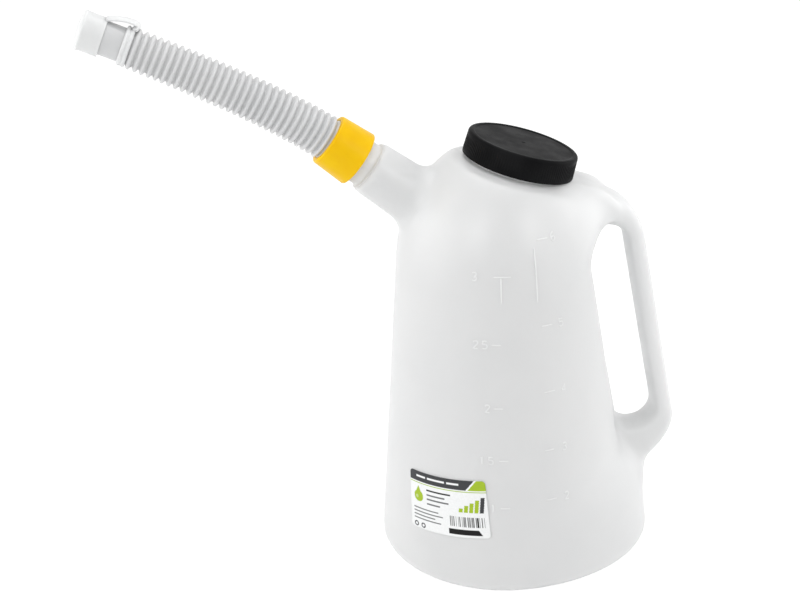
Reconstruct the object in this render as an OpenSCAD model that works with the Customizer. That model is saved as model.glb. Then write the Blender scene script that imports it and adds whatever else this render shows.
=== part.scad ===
// Three litre oil measuring jug with a wide filler neck and a flexible pouring spout.
// The origin is the centre of the round foot, on the surface that the jug stands on.
// +X points to the handle, -X to the spout, and y = 0 is the parting plane of the mould.

/* [Tank] */
// Radius of the round side of the tank at the foot
tank_r = 77.2; // [72:0.1:82]
// Inward lean of the tank's wall in degrees
tank_draft = 4.8; // [4:0.1:5.6]
// Reach of the foot's nose, under the handle
nose_x = 91.6; // [86:0.1:97]
// Height where the straight wall ends and the shoulder begins
shoulder_z = 188; // [180:1:194]
// Thickness of the blown wall
wall = 1.6; // [1.2:0.1:2.2]
// Rounding of the foot's edge
foot_r = 4.3; // [3:0.1:6]

/* [Handle] */
// Reach of the handle's outer edge at its knee
knee_x = 106.9; // [103:0.1:111]
// Height of the knee, where the handle meets its lower root
knee_z = 74; // [68:1:80]
// Height where the lower root leaves the foot's nose
root_z = 30; // [24:1:36]
// Lean of the handle towards the tank in degrees
handle_lean = 10.2; // [9:0.1:11.4]
// Half the width of the grip, across the parting plane
grip_half = 12.5; // [10.5:0.1:15]
// Width of the finger slot
slot_w = 23.4; // [21:0.1:26]
// Thickness of the grip, from the slot to its outer edge
grip_t = 11.6; // [10.5:0.1:14]
// Height of the lowest point of the finger slot
slot_low = 68; // [64:1:74]
// Rise of the finger slot's highest point above the shoulder's start
slot_rise = 14; // [6:1:18]
// Widening of the slot at each face, where its edges are rounded
slot_flare = 4; // [2:0.1:5]
// Rise of the handle's top corner above the shoulder's start
bridge_rise = 34.6; // [30:0.1:38]

/* [Filler neck] */
// Distance of the neck's axis from the foot's centre, at the cap's lower edge
neck_x = 10.8; // [6:0.1:16]
// Height of the cap's lower edge on that axis above the shoulder's start
neck_up = 53.4; // [50:0.1:58]
// Tilt of the neck towards the handle in degrees
neck_tilt = 16.2; // [13:0.1:19]
// Radius of the sloping collar round the neck
collar_r = 41; // [38:0.1:44]
// Fall of the collar from the neck to its edge
collar_drop = 3; // [1:0.1:5]
// Gap between the collar and the cap's lower edge
collar_gap = 1.1; // [0.6:0.1:2.5]
// Outer radius of the neck, without its thread
neck_r = 29.7; // [27:0.1:30.5]
// Thickness of the neck's wall
neck_wall = 2.4; // [1.8:0.1:3.2]
// Height of the neck's rim above the cap's lower edge
neck_rim = 10.5; // [9.6:0.1:11.5]
// Lead of the cap's thread
cap_pitch = 4; // [3.5:0.1:4.5]

/* [Filler cap] */
// Height of the cap
cap_h = 13.5; // [13:0.1:16]
// Thickness of the cap's skirt
cap_skirt = 1.7; // [1.4:0.1:2.4]
// Inward lean of the skirt's outside over its height
cap_taper = 0.5; // [0:0.1:1]
// Rounding of the cap's top edge
cap_round = 1.7; // [1:0.1:2.2]
// Width of the raised rim round the cap's top
cap_rim = 1.6; // [1:0.1:3]
// Depth of the cap's top below its rim
cap_sink = 0.4; // [0.2:0.1:0.6]
// Thickness of the foam liner in the cap
liner_t = 1.2; // [0.8:0.1:1.6]

/* [Spout] */
// Distance of the spout's step from the foot's centre
spout_x = -75.5; // [-79:0.1:-73]
// Height of the spout's step above the shoulder's start
spout_up = 58.6; // [55:0.1:62]
// Rise of the spout above the horizontal in degrees
spout_rise = 38.5; // [36:0.1:41]
// Radius of the spout at its step
spout_r = 15.6; // [14.9:0.1:17]
// Radius of the spout where it starts to flare into the tank
spout_base_r = 16.8; // [16:0.1:18]
// Length of the spout from its step to the start of the flare
spout_len = 26; // [24:0.1:28]
// Length of the flare along the spout
flare_len = 12; // [10:0.1:13]
// Widening of the radius over the flare
flare_r = 7; // [5:0.1:8]
// Outer radius of the spout's threaded end, without its thread
spout_neck_r = 13.1; // [12.8:0.1:13.4]
// Length of the threaded end
spout_neck_len = 22; // [20:0.1:25]
// Thickness of the threaded end's wall
spout_neck_wall = 2.2; // [1.6:0.1:2.6]
// Lead of the nut's thread
nut_pitch = 4; // [3.5:0.1:4.5]

/* [Nut] */
// Outer radius of the nut at the tank's side
nut_r = 16.5; // [16.3:0.1:18]
// Outer radius of the nut at the hose's side
nut_end_r = 15.2; // [15.1:0.1:16]
// Distance from the spout's step to the nut
nut_gap = 6.2; // [5:0.1:8]
// Thickness of the nut's end wall, which holds the hose's flange
nut_web = 3.4; // [2.6:0.1:4.5]
// Chamfer on the nut's outer edges
nut_chamfer = 1; // [0.6:0.1:1.4]

/* [Flexible spout] */
// Outer radius of the corrugation beside the nut
hose_r = 13.1; // [12.6:0.1:14]
// Outer radius of the corrugation at its tip
hose_tip_r = 11.5; // [11.2:0.1:12.2]
// Depth of the corrugation
groove = 2.2; // [1.4:0.1:2.6]
// Thickness of the corrugated wall
hose_wall = 0.9; // [0.7:0.1:1.1]
// Number of corrugations
crest_count = 30; // [24:1:34]
// Length of one corrugation
crest_pitch = 3.93; // [3.5:0.01:4.2]
// Rise of the nozzle above the horizontal in degrees, past the bend
tip_rise = 25; // [20:0.1:30]
// Sag of the corrugation where it leaves the nut in degrees
hose_sag = 2; // [0:0.1:5]
// Length over which the bend fades
bend_fade = 50; // [30:1:60]
// Radius of the plain cuff inside the nut
cuff_r = 12.2; // [12:0.1:12.4]
// Thickness of the flange that the nut clamps
flange_t = 2; // [1.5:0.1:2.6]
// Outer radius of the nozzle
nozzle_r = 9.5; // [9:0.1:10]
// Length of the nozzle
nozzle_len = 26; // [24:0.1:28]
// Thickness of the nozzle's wall
nozzle_wall = 1.3; // [1:0.1:1.8]

/* [Tip cap] */
// Outer radius of the tip cap
tip_cap_r = 11; // [10.9:0.1:12]
// Length of the tip cap
tip_cap_len = 12; // [10:0.1:14]
// Thickness of the tip cap's end wall
tip_cap_end = 1.5; // [1:0.1:2.5]
// Rise of the tip cap's domed end
tip_cap_dome = 2.4; // [1:0.1:4]
// How far the lip round the domed end stands out
tip_lip = 0.4; // [0.2:0.1:0.8]
// Width of the strap's ring along the nozzle
ring_w = 4.6; // [3.5:0.1:6]
// Outer radius of the strap's ring
ring_r = 11.3; // [10.8:0.1:12]
// Width of the strap
strap_w = 8; // [6:0.1:9]
// Thickness of the strap
strap_t = 1.6; // [1.2:0.1:2]
// Pull of the strap's arch away from the nozzle
strap_rise = 3.8; // [3:0.1:4.6]
// Pull of the strap's arch over its ring
strap_bulge = 5; // [2.5:0.1:6]
// Pull of the strap's arch away from the tip cap
strap_reach = 8; // [5:0.1:9]

/* [Label] */
// Width of the label
label_w = 53; // [40:1:60]
// Height of the label
label_h = 39; // [30:1:46]
// Direction that the label faces, in degrees from the handle
label_turn = -126.5; // [-150:0.5:-110]
// Height of the label's middle
label_z = 53; // [46:1:70]
// Rise of the label's upper edge to the right in degrees
label_slant = 3; // [0:0.1:14]
// Thickness of the label
label_t = 0.2; // [0.1:0.05:0.4]

/* [Clearances] */
// Radial gap of a thread's crests
thread_gap = 0.25; // [0.2:0.01:0.3]
// Gap between the flanks of two threads
flank_gap = 0.15; // [0.1:0.01:0.3]
// Radial gap of a turning or sliding fit
fit_gap = 0.08; // [0.03:0.01:0.1]
// Gap between the label and the tank
label_gap = 0.12; // [0.05:0.01:0.3]

/* [Hidden] */

$fn = 96;
half_turn_steps = 24;  // steps of a tank section from the handle to the spout
turn_bias = 1.6;       // packs those steps towards the narrow handle
fillet_power = 8;      // blends the handle into the tank
grip_power = 4;        // squares the grip's section
root_depth = 0.7;      // share of the nose from which the handle's lower root grows
turn_in = 0.035;       // share of the radius by which the shoulder's corner lies inside the wall
shoulder_slope = 48;   // fall of the shoulder from the collar's edge in degrees, away from the handle
bridge_turn = 10;      // angle from the handle over which its top line keeps the shoulder up
bridge_fade = 55;      // angle over which the shoulder then falls to its own slope
shoulder_steps = 8;
foot_steps = 3;
slot_steps = 5;
hose_sides = 20;
thread_h = 1.2;        // height of the filler thread's ridge
thread_root = 1.7;     // width of a ridge where it leaves its wall
thread_tip = 0.8;      // width of a ridge at its crest
spout_thread_h = 1;    // height of the spout thread's ridge
sunk = 0.5;            // how far a ridge's root lies inside its wall
thread_end = 1.2;      // distance from a threaded end's rim to its ridge
edge_break = 0.4;      // chamfer on a small moulded edge
rest_gap = 0.3;        // gap between soft pieces that nearly touch
flare_ease = 2;        // length by which the flare stops short of its steepest point
flare_on = 4;          // how far the flare's end runs on inside the tank
nozzle_bevel = 0.5;    // chamfer on the nozzle's end
crown_miss = 0.4;      // share of the slot's half width by which the cut above it misses its crown

// Heights that follow the shoulder
slot_high = shoulder_z + slot_rise;
bridge_z = shoulder_z + bridge_rise;
neck_z = shoulder_z + neck_up;
spout_z = shoulder_z + spout_up;

// Radius of the tank's round side at a height
function tank_at(z) = tank_r - z * tan(tank_draft);
// A step from 0 to 1 with level ends
function ease(t) = let (c = min(max(t, 0), 1)) c * c * (3 - 2 * c);
// Reach of the tank's nose, which fades above the handle's lower root
function nose_at(z) = tank_at(z) * (1 + (nose_x / tank_r - 1) * (1 - ease((z - root_z) / (slot_low - root_z))));
// Reach of the handle's outer edge, a leaning line above the knee and a curve into the nose below it
function grip_at(z) =
    let (
        low = nose_at(root_z) * root_depth,
        line = knee_x - max(z - knee_z, 0) * tan(handle_lean),
        left = min(max((knee_z - z) / (knee_z - root_z + foot_r), 0), 1)
    )
    low + (line - low) * (1 - left * left);
// Polar radius of the tank's section with its handle, before the slot is cut
function section_r(a, z) =
    let (
        round_side = tank_at(z),
        reach = cos(a) > 0 ? nose_at(z) : round_side,
        egg = 1 / sqrt(pow(cos(a) / reach, 2) + pow(sin(a) / round_side, 2)),
        grip = cos(a) > 0
            ? pow(pow(cos(a) / grip_at(z), grip_power) + pow(abs(sin(a)) / grip_half, grip_power), -1 / grip_power)
            : 0
    )
    pow(pow(egg, fillet_power) + pow(grip, fillet_power), 1 / fillet_power);

half_angles = [for (i = [0:half_turn_steps]) 180 * pow(i / half_turn_steps, turn_bias)];
angles = concat(half_angles, [for (i = [half_turn_steps - 1:-1:1]) 360 - half_angles[i]]);
wall_heights = [
    root_z / 2, root_z, for (k = [1:5]) root_z + (knee_z - root_z) * k / 5,
    for (k = [1:4]) knee_z + (shoulder_z - knee_z) * k / 4
];

neck_dir = [sin(neck_tilt), 0, cos(neck_tilt)];
neck_side = [cos(neck_tilt), 0, -sin(neck_tilt)];
neck_at = [neck_x, 0, neck_z];
// Height of the plane across the neck at the collar, lowered by drop, above a point of the ground
function collar_plane(x, drop) =
    neck_z - ((collar_gap + drop) + (x - neck_x) * sin(neck_tilt)) / cos(neck_tilt);
// A ring of points round the neck
function collar_ring(radius, drop) = [
    for (a = angles)
        neck_at - neck_dir * (collar_gap + drop) + radius * (cos(a) * neck_side + sin(a) * [0, 1, 0])
];
// A section of the tank at a height, inset by a wall's thickness
function level_ring(z, inset) = [for (a = angles) let (r = section_r(a, z) - inset) [r * cos(a), r * sin(a), z]];
// A section of the shoulder, which turns from the level wall into the tilted collar
function shoulder_ring(t, inset) =
    let (rims = collar_ring(collar_r - inset / 2, collar_drop + inset))
    [
        for (i = [0:len(angles) - 1])
            let (
                a = angles[i],
                r = section_r(a, shoulder_z) - inset,
                foot = [r * cos(a), r * sin(a), shoulder_z],
                rim = rims[i],
                turn_x = foot[0] * (1 - turn_in),
                turn_y = foot[1] * (1 - turn_in),
                gap = norm([turn_x - rim[0], turn_y - rim[1]]),
                side = ease((min(a, 360 - a) - bridge_turn) / bridge_fade),
                fallen = collar_plane(turn_x, collar_drop + inset) - gap * tan(shoulder_slope),
                turn = [turn_x, turn_y, side * fallen + (1 - side) * (bridge_z - inset)]
            )
            (1 - t) * (1 - t) * foot + 2 * t * (1 - t) * turn + t * t * rim
    ];

// Triangles of a stack of rings with equal numbers of points, closed by a point at each end
function stack_faces(n, rings) = concat(
    [for (i = [0:n - 1]) [rings * n, i, (i + 1) % n]],
    [
        for (k = [0:rings - 2], i = [0:n - 1])
            let (a = k * n + i, b = k * n + (i + 1) % n)
            each [[a, b + n, b], [a, a + n, b + n]]
    ],
    [for (i = [0:n - 1]) [rings * n + 1, (rings - 1) * n + (i + 1) % n, (rings - 1) * n + i]]
);

module stack(rings, low_end, high_end) {
    polyhedron(
        points = concat([for (ring = rings) each ring], [low_end, high_end]),
        faces = stack_faces(len(rings[0]), len(rings))
    );
}

// The tank, its handle and its shoulder as one closed form
module tank_form(inset) {
    edge = max(foot_r - inset, 1);
    stack(
        concat(
            [
                for (k = [0:foot_steps])
                    let (a = 90 * k / foot_steps)
                    level_ring(inset + edge * (1 - cos(a)), inset + edge * (1 - sin(a)))
            ],
            [for (z = wall_heights) level_ring(z, inset)],
            [for (k = [1:shoulder_steps]) shoulder_ring(k / shoulder_steps, inset)],
            [collar_ring(neck_r - neck_wall / 2, inset)]
        ),
        [0, 0, inset],
        neck_at - neck_dir * (collar_gap + inset)
    );
}

// Ends of the finger slot's middle line
slot_run = slot_w / 2;
function slot_mid_x(z) = knee_x - (z - knee_z) * tan(handle_lean) - (grip_t + slot_run) / cos(handle_lean);
slot_foot = [slot_mid_x(slot_low + slot_run), slot_low + slot_run];
slot_head = [slot_mid_x(slot_high - slot_run), slot_high - slot_run];

// The slot's outline at a distance across the handle
function slot_ring(y, radius) =
    let (arc_steps = 12)
    [
        for (end = [0, 1], k = [0:arc_steps])
            let (
                a = handle_lean + 180 * (k / arc_steps - 1 + end),
                at = end == 0 ? slot_foot : slot_head
            )
            [at[0] + radius * cos(a), y, at[1] + radius * sin(a)]
    ];

// The slot through the handle, grown by a margin and widened towards both faces
module slot_form(margin) {
    past = 2 * grip_half + slot_w;
    arcs = [for (k = [-slot_steps:slot_steps]) 90 * k / slot_steps];
    radius = slot_run + margin;
    stack(
        concat(
            [slot_ring(past, radius + slot_flare)],
            [for (a = arcs) slot_ring(-grip_half * sin(a), radius + slot_flare * (1 - cos(a)))],
            [slot_ring(-past, radius + slot_flare)]
        ),
        [slot_foot[0], past, slot_foot[1]],
        [slot_foot[0], -past, slot_foot[1]]
    );
}

// A helical ridge between two radii, with its own width at each
module ridge(inner_r, outer_r, inner_w, outer_w, pitch, turns, steps) {
    count = round(turns * steps);
    polyhedron(
        points = [
            for (i = [0:count])
                let (a = 360 * i / steps, z = pitch * i / steps, u = [cos(a), sin(a)])
                each [
                    [inner_r * u[0], inner_r * u[1], z - inner_w / 2],
                    [outer_r * u[0], outer_r * u[1], z - outer_w / 2],
                    [outer_r * u[0], outer_r * u[1], z + outer_w / 2],
                    [inner_r * u[0], inner_r * u[1], z + inner_w / 2]
                ]
        ],
        faces = concat(
            [[0, 3, 2], [0, 2, 1]],
            [
                for (i = [0:count - 1], j = [0:3])
                    let (a = 4 * i + j, b = 4 * i + (j + 1) % 4)
                    each [[a, b, b + 4], [a, b + 4, a + 4]]
            ],
            [let (e = 4 * count) [e, e + 1, e + 2], let (e = 4 * count) [e, e + 2, e + 3]]
        )
    );
}

module at_neck() {
    translate(neck_at) rotate([0, neck_tilt, 0]) children();
}

module at_spout() {
    translate([spout_x, 0, spout_z]) rotate([0, spout_rise - 90, 0]) children();
}

// Radius of the spout's outside at a distance down from its step
function spout_at(d) =
    d < spout_len
        ? spout_r + (spout_base_r - spout_r) * d / spout_len
        : spout_base_r + flare_r * (1 - sqrt(max(1 - pow((d - spout_len) / (flare_len + flare_ease), 2), 0)))
            / (1 - sqrt(1 - pow(flare_len / (flare_len + flare_ease), 2)));
flare_end = spout_len + flare_len;
flare_steps = 6;
spout_stations = [0, for (k = [0:flare_steps]) spout_len + flare_len * k / flare_steps];

module spout_outside() {
    rotate_extrude()
        polygon(concat(
            [[0, 0]],
            [for (d = spout_stations) [spout_at(d), -d]],
            [[spout_at(flare_end), -flare_end - flare_on], [0, -flare_end - flare_on]]
        ));
}

module spout_inside() {
    bore = spout_neck_r - spout_neck_wall;
    rotate_extrude()
        polygon(concat(
            [[0, 1], [bore, 1], [bore, -wall]],
            [for (d = spout_stations) if (d > 0) [spout_at(d) - wall, -d]],
            [[spout_at(flare_end) - wall, -flare_end - 2 * flare_on], [0, -flare_end - 2 * flare_on]]
        ));
}

cap_thread_z = 4.4;    // height of the neck thread's start above the cap's lower edge
neck_thread_turns = 1.25;
cap_thread_turns = 1;
spout_thread_turns = 2.5;
nut_thread_turns = 2;
spout_thread_z = spout_neck_len - thread_end - nut_pitch * spout_thread_turns;
dome_steps = 6;
ridge_drop = (thread_root + thread_tip) / 2 + flank_gap;

// The blown jug is one moulding. It is cut flat at the ends of the finger slot, along the slot's middle
// and between the collar and the spout, so that each piece keeps its own hollow
module outer_form() {
    difference() {
        tank_form(0);
        slot_form(0);
    }
}

module inner_form() {
    difference() {
        tank_form(wall);
        slot_form(wall);
    }
}

// The space between two heights
module level(low, high) {
    translate([-2 * knee_x, -2 * tank_r, low]) cube([4 * knee_x, 4 * tank_r, high - low]);
}

// The space on one side of a plane past the finger slot's middle plane: -1 is the tank's side, 1 the grip's
module beside_slot(side, past = 0) {
    translate([slot_foot[0], 0, slot_foot[1]]) rotate([0, -handle_lean, 0])
        translate([(side - 1) * knee_x + past, -2 * tank_r, -2 * knee_z])
            cube([2 * knee_x, 4 * tank_r, 2 * (shoulder_z + knee_z)]);
}

module jug_foot() {
    color([0.93, 0.94, 0.94])
        difference() {
            intersection() {
                outer_form();
                level(-wall, slot_foot[1]);
            }
            inner_form();
        }
}

module between_ends(side) {
    difference() {
        intersection() {
            outer_form();
            level(slot_foot[1], slot_head[1]);
            beside_slot(side);
        }
        inner_form();
    }
}

module jug_side() {
    color([0.93, 0.94, 0.94]) between_ends(-1);
}

module jug_grip() {
    color([0.93, 0.94, 0.94]) between_ends(1);
}

// The solid jug above the finger slot's upper end, on one side of a plane that misses the slot's crown
module above_slot(side) {
    intersection() {
        outer_form();
        level(slot_head[1], 2 * shoulder_z);
        beside_slot(side, crown_miss * slot_run);
    }
}

// The space on the spout's side of the middle between the collar and the spout
module at_spout_side() {
    cut_x = (neck_x - collar_r + spout_x) / 2;
    translate([cut_x - 4 * tank_r, -2 * tank_r, 0]) cube([4 * tank_r, 4 * tank_r, 3 * shoulder_z]);
}

module shoulder_and_spout() {
    difference() {
        union() {
            above_slot(-1);
            at_spout() spout_outside();
        }
        inner_form();
        at_neck() translate([0, 0, -collar_gap - 3 * wall])
            cylinder(r = neck_r - neck_wall, h = 4 * wall);
        at_spout() spout_inside();
    }
}

module jug_shoulder() {
    color([0.93, 0.94, 0.94])
        difference() {
            shoulder_and_spout();
            at_spout_side();
        }
}

module spout_root() {
    color([0.93, 0.94, 0.94])
        intersection() {
            shoulder_and_spout();
            at_spout_side();
        }
}

module handle_top() {
    color([0.93, 0.94, 0.94])
        difference() {
            above_slot(1);
            inner_form();
        }
}

module filler_neck() {
    color([0.93, 0.94, 0.94])
        at_neck() {
            translate([0, 0, -collar_gap])
                difference() {
                    cylinder(r = neck_r, h = neck_rim + collar_gap);
                    translate([0, 0, -1]) cylinder(r = neck_r - neck_wall, h = neck_rim + collar_gap + 2);
                }
            translate([0, 0, cap_thread_z])
                ridge(neck_r - sunk, neck_r + thread_h, thread_root, thread_tip, cap_pitch, neck_thread_turns, 36);
        }
}

module spout_end() {
    color([0.93, 0.94, 0.94])
        at_spout() {
            difference() {
                cylinder(r = spout_neck_r, h = spout_neck_len);
                translate([0, 0, -1]) cylinder(r = spout_neck_r - spout_neck_wall, h = spout_neck_len + 2);
            }
            translate([0, 0, spout_thread_z])
                ridge(spout_neck_r - sunk, spout_neck_r + spout_thread_h, thread_root, thread_tip,
                    nut_pitch, spout_thread_turns, 24);
        }
}

cap_bore = neck_r + thread_h + thread_gap;
cap_r = cap_bore + cap_skirt;
cap_ceiling = neck_rim + liner_t;

module filler_cap() {
    round_steps = 5;
    color([0.1, 0.1, 0.11])
        at_neck() {
            difference() {
                rotate_extrude()
                    polygon(concat(
                        [[0, 0], [cap_r - edge_break, 0], [cap_r, edge_break]],
                        [for (k = [0:round_steps]) let (a = 90 * k / round_steps)
                            [cap_r - cap_taper - cap_round * (1 - cos(a)), cap_h - cap_round * (1 - sin(a))]],
                        [
                            [cap_r - cap_taper - cap_round - cap_rim, cap_h],
                            [cap_r - cap_taper - cap_round - cap_rim - cap_sink, cap_h - cap_sink],
                            [0, cap_h - cap_sink]
                        ]
                    ));
                translate([0, 0, -1]) cylinder(r = cap_bore, h = cap_ceiling + 1);
            }
            translate([0, 0, cap_thread_z - ridge_drop])
                ridge(neck_r + thread_gap, cap_bore + sunk, thread_tip, thread_root,
                    cap_pitch, cap_thread_turns, 36);
        }
}

module cap_liner() {
    color([0.9, 0.9, 0.88])
        at_neck() translate([0, 0, neck_rim]) cylinder(r = neck_r, h = liner_t);
}

nut_top = spout_neck_len + flange_t + nut_web;
nut_bore = spout_neck_r + spout_thread_h + thread_gap;
flange_r = spout_neck_r;

module spout_nut() {
    color([0.98, 0.78, 0.06])
        at_spout() {
            rotate_extrude()
                polygon([
                    [nut_bore, nut_gap],
                    [nut_r - nut_chamfer, nut_gap],
                    [nut_r, nut_gap + nut_chamfer],
                    [nut_end_r, nut_top - nut_chamfer],
                    [nut_end_r - nut_chamfer, nut_top],
                    [cuff_r + fit_gap, nut_top],
                    [cuff_r + fit_gap, spout_neck_len + flange_t],
                    [nut_bore, spout_neck_len + flange_t]
                ]);
            translate([0, 0, spout_thread_z - ridge_drop])
                ridge(spout_neck_r + thread_gap, nut_bore + sunk, thread_tip, thread_root,
                    nut_pitch, nut_thread_turns, 24);
        }
}

// The flexible spout's middle line leaves the nut at the spout's rise and eases to the nozzle's rise
cuff_out = 0.6;        // how far the cuff stands out of the nut
hose_len = crest_count * crest_pitch;
crest_marks = [0, 0.3, 0.7];
marks = len(crest_marks);
ring_count = crest_count * marks;
function rise_at(s) = tip_rise + (spout_rise - hose_sag - tip_rise) * exp(-s / bend_fade);
function run_dir(s) = [-cos(rise_at(s)), 0, sin(rise_at(s))];
function station(k) = crest_pitch * (floor(k / marks) + crest_marks[k % marks]);
spout_dir = [-cos(spout_rise), 0, sin(spout_rise)];
hose_start = [spout_x, 0, spout_z] + (nut_top + cuff_out) * spout_dir;
hose_mids = [
    for (k = 0, p = hose_start; k <= ring_count; k = k + 1,
        p = p + (station(k) - station(k - 1)) * run_dir((station(k) + station(k - 1)) / 2)) p
];
hose_end = hose_mids[ring_count];
function crest_at(s) = hose_r + (hose_tip_r - hose_r) * s / hose_len;
function hose_ring(k, inset) =
    let (
        s = station(k), t = rise_at(s),
        r = crest_at(s) - (k % marks == 0 ? groove : 0) - inset,
        across = [sin(t), 0, cos(t)]
    )
    [for (i = [0:hose_sides - 1]) let (a = 360 * i / hose_sides)
        hose_mids[k] + r * (cos(a) * across + sin(a) * [0, 1, 0])];

// A tube with an outer and an inner stack of rings, joined at both ends
module tube(outer, inner) {
    n = len(outer[0]);
    m = len(outer);
    polyhedron(
        points = concat([for (ring = outer) each ring], [for (ring = inner) each ring]),
        faces = concat(
            [
                for (k = [0:m - 2], i = [0:n - 1])
                    let (a = k * n + i, b = k * n + (i + 1) % n)
                    each [[a, b + n, b], [a, a + n, b + n]]
            ],
            [
                for (k = [0:m - 2], i = [0:n - 1])
                    let (a = (m + k) * n + i, b = (m + k) * n + (i + 1) % n)
                    each [[a, b, b + n], [a, b + n, a + n]]
            ],
            [
                for (i = [0:n - 1])
                    let (a = i, b = (i + 1) % n)
                    each [[a, b, m * n + b], [a, m * n + b, m * n + a]]
            ],
            [
                for (i = [0:n - 1])
                    let (a = (m - 1) * n + i, b = (m - 1) * n + (i + 1) % n)
                    each [[a, m * n + b, b], [a, m * n + a, m * n + b]]
            ]
        )
    );
}

module at_tip() {
    translate(hose_end) rotate([0, tip_rise - 90, 0]) children();
}

module flexible_spout() {
    bore = cuff_r - 2 * hose_wall;
    color([0.88, 0.89, 0.89]) {
        tube(
            [for (k = [0:ring_count]) hose_ring(k, 0)],
            [for (k = [0:ring_count]) hose_ring(k, hose_wall)]
        );
        at_spout() rotate_extrude()
            polygon([
                [bore, spout_neck_len],
                [flange_r, spout_neck_len],
                [flange_r, spout_neck_len + flange_t],
                [cuff_r, spout_neck_len + flange_t],
                [cuff_r, nut_top + cuff_out + hose_wall],
                [bore, nut_top + cuff_out + hose_wall]
            ]);
        at_tip() rotate_extrude()
            polygon([
                [nozzle_r - nozzle_wall, -hose_wall],
                [nozzle_r, -hose_wall],
                [nozzle_r, nozzle_len - 2 * nozzle_bevel],
                [nozzle_r - nozzle_bevel, nozzle_len],
                [nozzle_r - nozzle_wall, nozzle_len]
            ]);
    }
}

tip_cap_top = nozzle_len + tip_cap_end;
tip_cap_low = tip_cap_top - tip_cap_len;

module tip_cap() {
    bore = nozzle_r + fit_gap;
    lip_r = tip_cap_r + tip_lip;
    arcs = [for (k = [0:dome_steps]) 90 * k / dome_steps];
    color([0.95, 0.95, 0.95])
        at_tip() rotate_extrude()
            polygon(concat(
                [
                    [bore, tip_cap_low],
                    [tip_cap_r - edge_break, tip_cap_low],
                    [tip_cap_r, tip_cap_low + edge_break],
                    [tip_cap_r, tip_cap_top - 3 * tip_lip],
                    [lip_r, tip_cap_top - 2 * tip_lip],
                    [lip_r, tip_cap_top - tip_lip]
                ],
                [for (a = arcs) [tip_cap_r * cos(a), tip_cap_top + tip_cap_dome * sin(a)]],
                [for (k = [dome_steps:-1:0]) [bore * cos(arcs[k]), nozzle_len + tip_cap_dome * sin(arcs[k])]]
            ));
}

// The strap's middle line is a cubic curve from inside its ring to just short of the tip cap
strap_foot = nozzle_r + strap_t / 2;
strap_start = rest_gap + 0.3 * ring_w;
strap_stop = tip_cap_low - strap_t / 2 - rest_gap;
strap_pulls = [
    [strap_foot, strap_start], [strap_foot + strap_rise, strap_start - strap_bulge],
    [strap_foot + strap_rise, strap_stop - strap_reach], [strap_foot, strap_stop]
];
function strap_mid(t) =
    pow(1 - t, 3) * strap_pulls[0] + 3 * t * pow(1 - t, 2) * strap_pulls[1]
        + 3 * t * t * (1 - t) * strap_pulls[2] + pow(t, 3) * strap_pulls[3];
function strap_edge(t, side) =
    let (run = strap_mid(min(t + 0.01, 1)) - strap_mid(max(t - 0.01, 0)))
    strap_mid(t) + side * strap_t / 2 * [run[1], -run[0]] / norm(run);

module tip_strap() {
    steps = 9;
    color([0.95, 0.95, 0.95])
        at_tip() {
            difference() {
                translate([0, 0, rest_gap]) cylinder(r = ring_r, h = ring_w);
                translate([0, 0, rest_gap - 1]) cylinder(r = nozzle_r + fit_gap, h = ring_w + 2);
            }
            rotate([90, 0, 0])
                linear_extrude(height = strap_w, center = true)
                    polygon(concat(
                        [for (k = [0:steps]) strap_edge(k / steps, -1)],
                        [for (k = [steps:-1:0]) strap_edge(k / steps, 1)]
                    ));
        }
}

// A point of the label at a distance across and up from its middle, raised off the tank
function label_point(u, v, lift) =
    let (
        across = u * cos(label_slant) - v * sin(label_slant),
        z = label_z + u * sin(label_slant) + v * cos(label_slant),
        a = label_turn + across / tank_at(label_z) * 180 / PI,
        r = tank_at(z) + lift
    )
    [r * cos(a), r * sin(a), z];

module label() {
    x_steps = 16;
    y_steps = 4;
    across = x_steps + 1;
    grid = [
        for (j = [0:y_steps], i = [0:x_steps])
            [(i / x_steps - 0.5) * label_w, (j / y_steps - 0.5) * label_h]
    ];
    n = across * (y_steps + 1);
    edge = concat(
        [for (i = [0:x_steps]) i],
        [for (j = [1:y_steps]) j * across + x_steps],
        [for (i = [x_steps - 1:-1:0]) y_steps * across + i],
        [for (j = [y_steps - 1:-1:1]) j * across]
    );
    color([0.97, 0.97, 0.97])
        polyhedron(
            points = concat(
                [for (p = grid) label_point(p[0], p[1], label_gap + label_t)],
                [for (p = grid) label_point(p[0], p[1], label_gap)]
            ),
            faces = concat(
                [
                    for (j = [0:y_steps - 1], i = [0:x_steps - 1])
                        let (a = j * across + i, b = a + across)
                        each [[a, b + 1, a + 1], [a, b, b + 1], [n + a, n + a + 1, n + b + 1], [n + a, n + b + 1, n + b]]
                ],
                [
                    for (k = [0:len(edge) - 1])
                        let (a = edge[k], b = edge[(k + 1) % len(edge)])
                        each [[a, b, n + b], [a, n + b, n + a]]
                ]
            )
        );
}

jug_foot();
jug_side();
jug_grip();
jug_shoulder();
handle_top();
spout_root();
filler_neck();
spout_end();
filler_cap();
cap_liner();
spout_nut();
flexible_spout();
tip_cap();
tip_strap();
label();
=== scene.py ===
import math

import bpy
import numpy as np
from mathutils import Matrix


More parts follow.
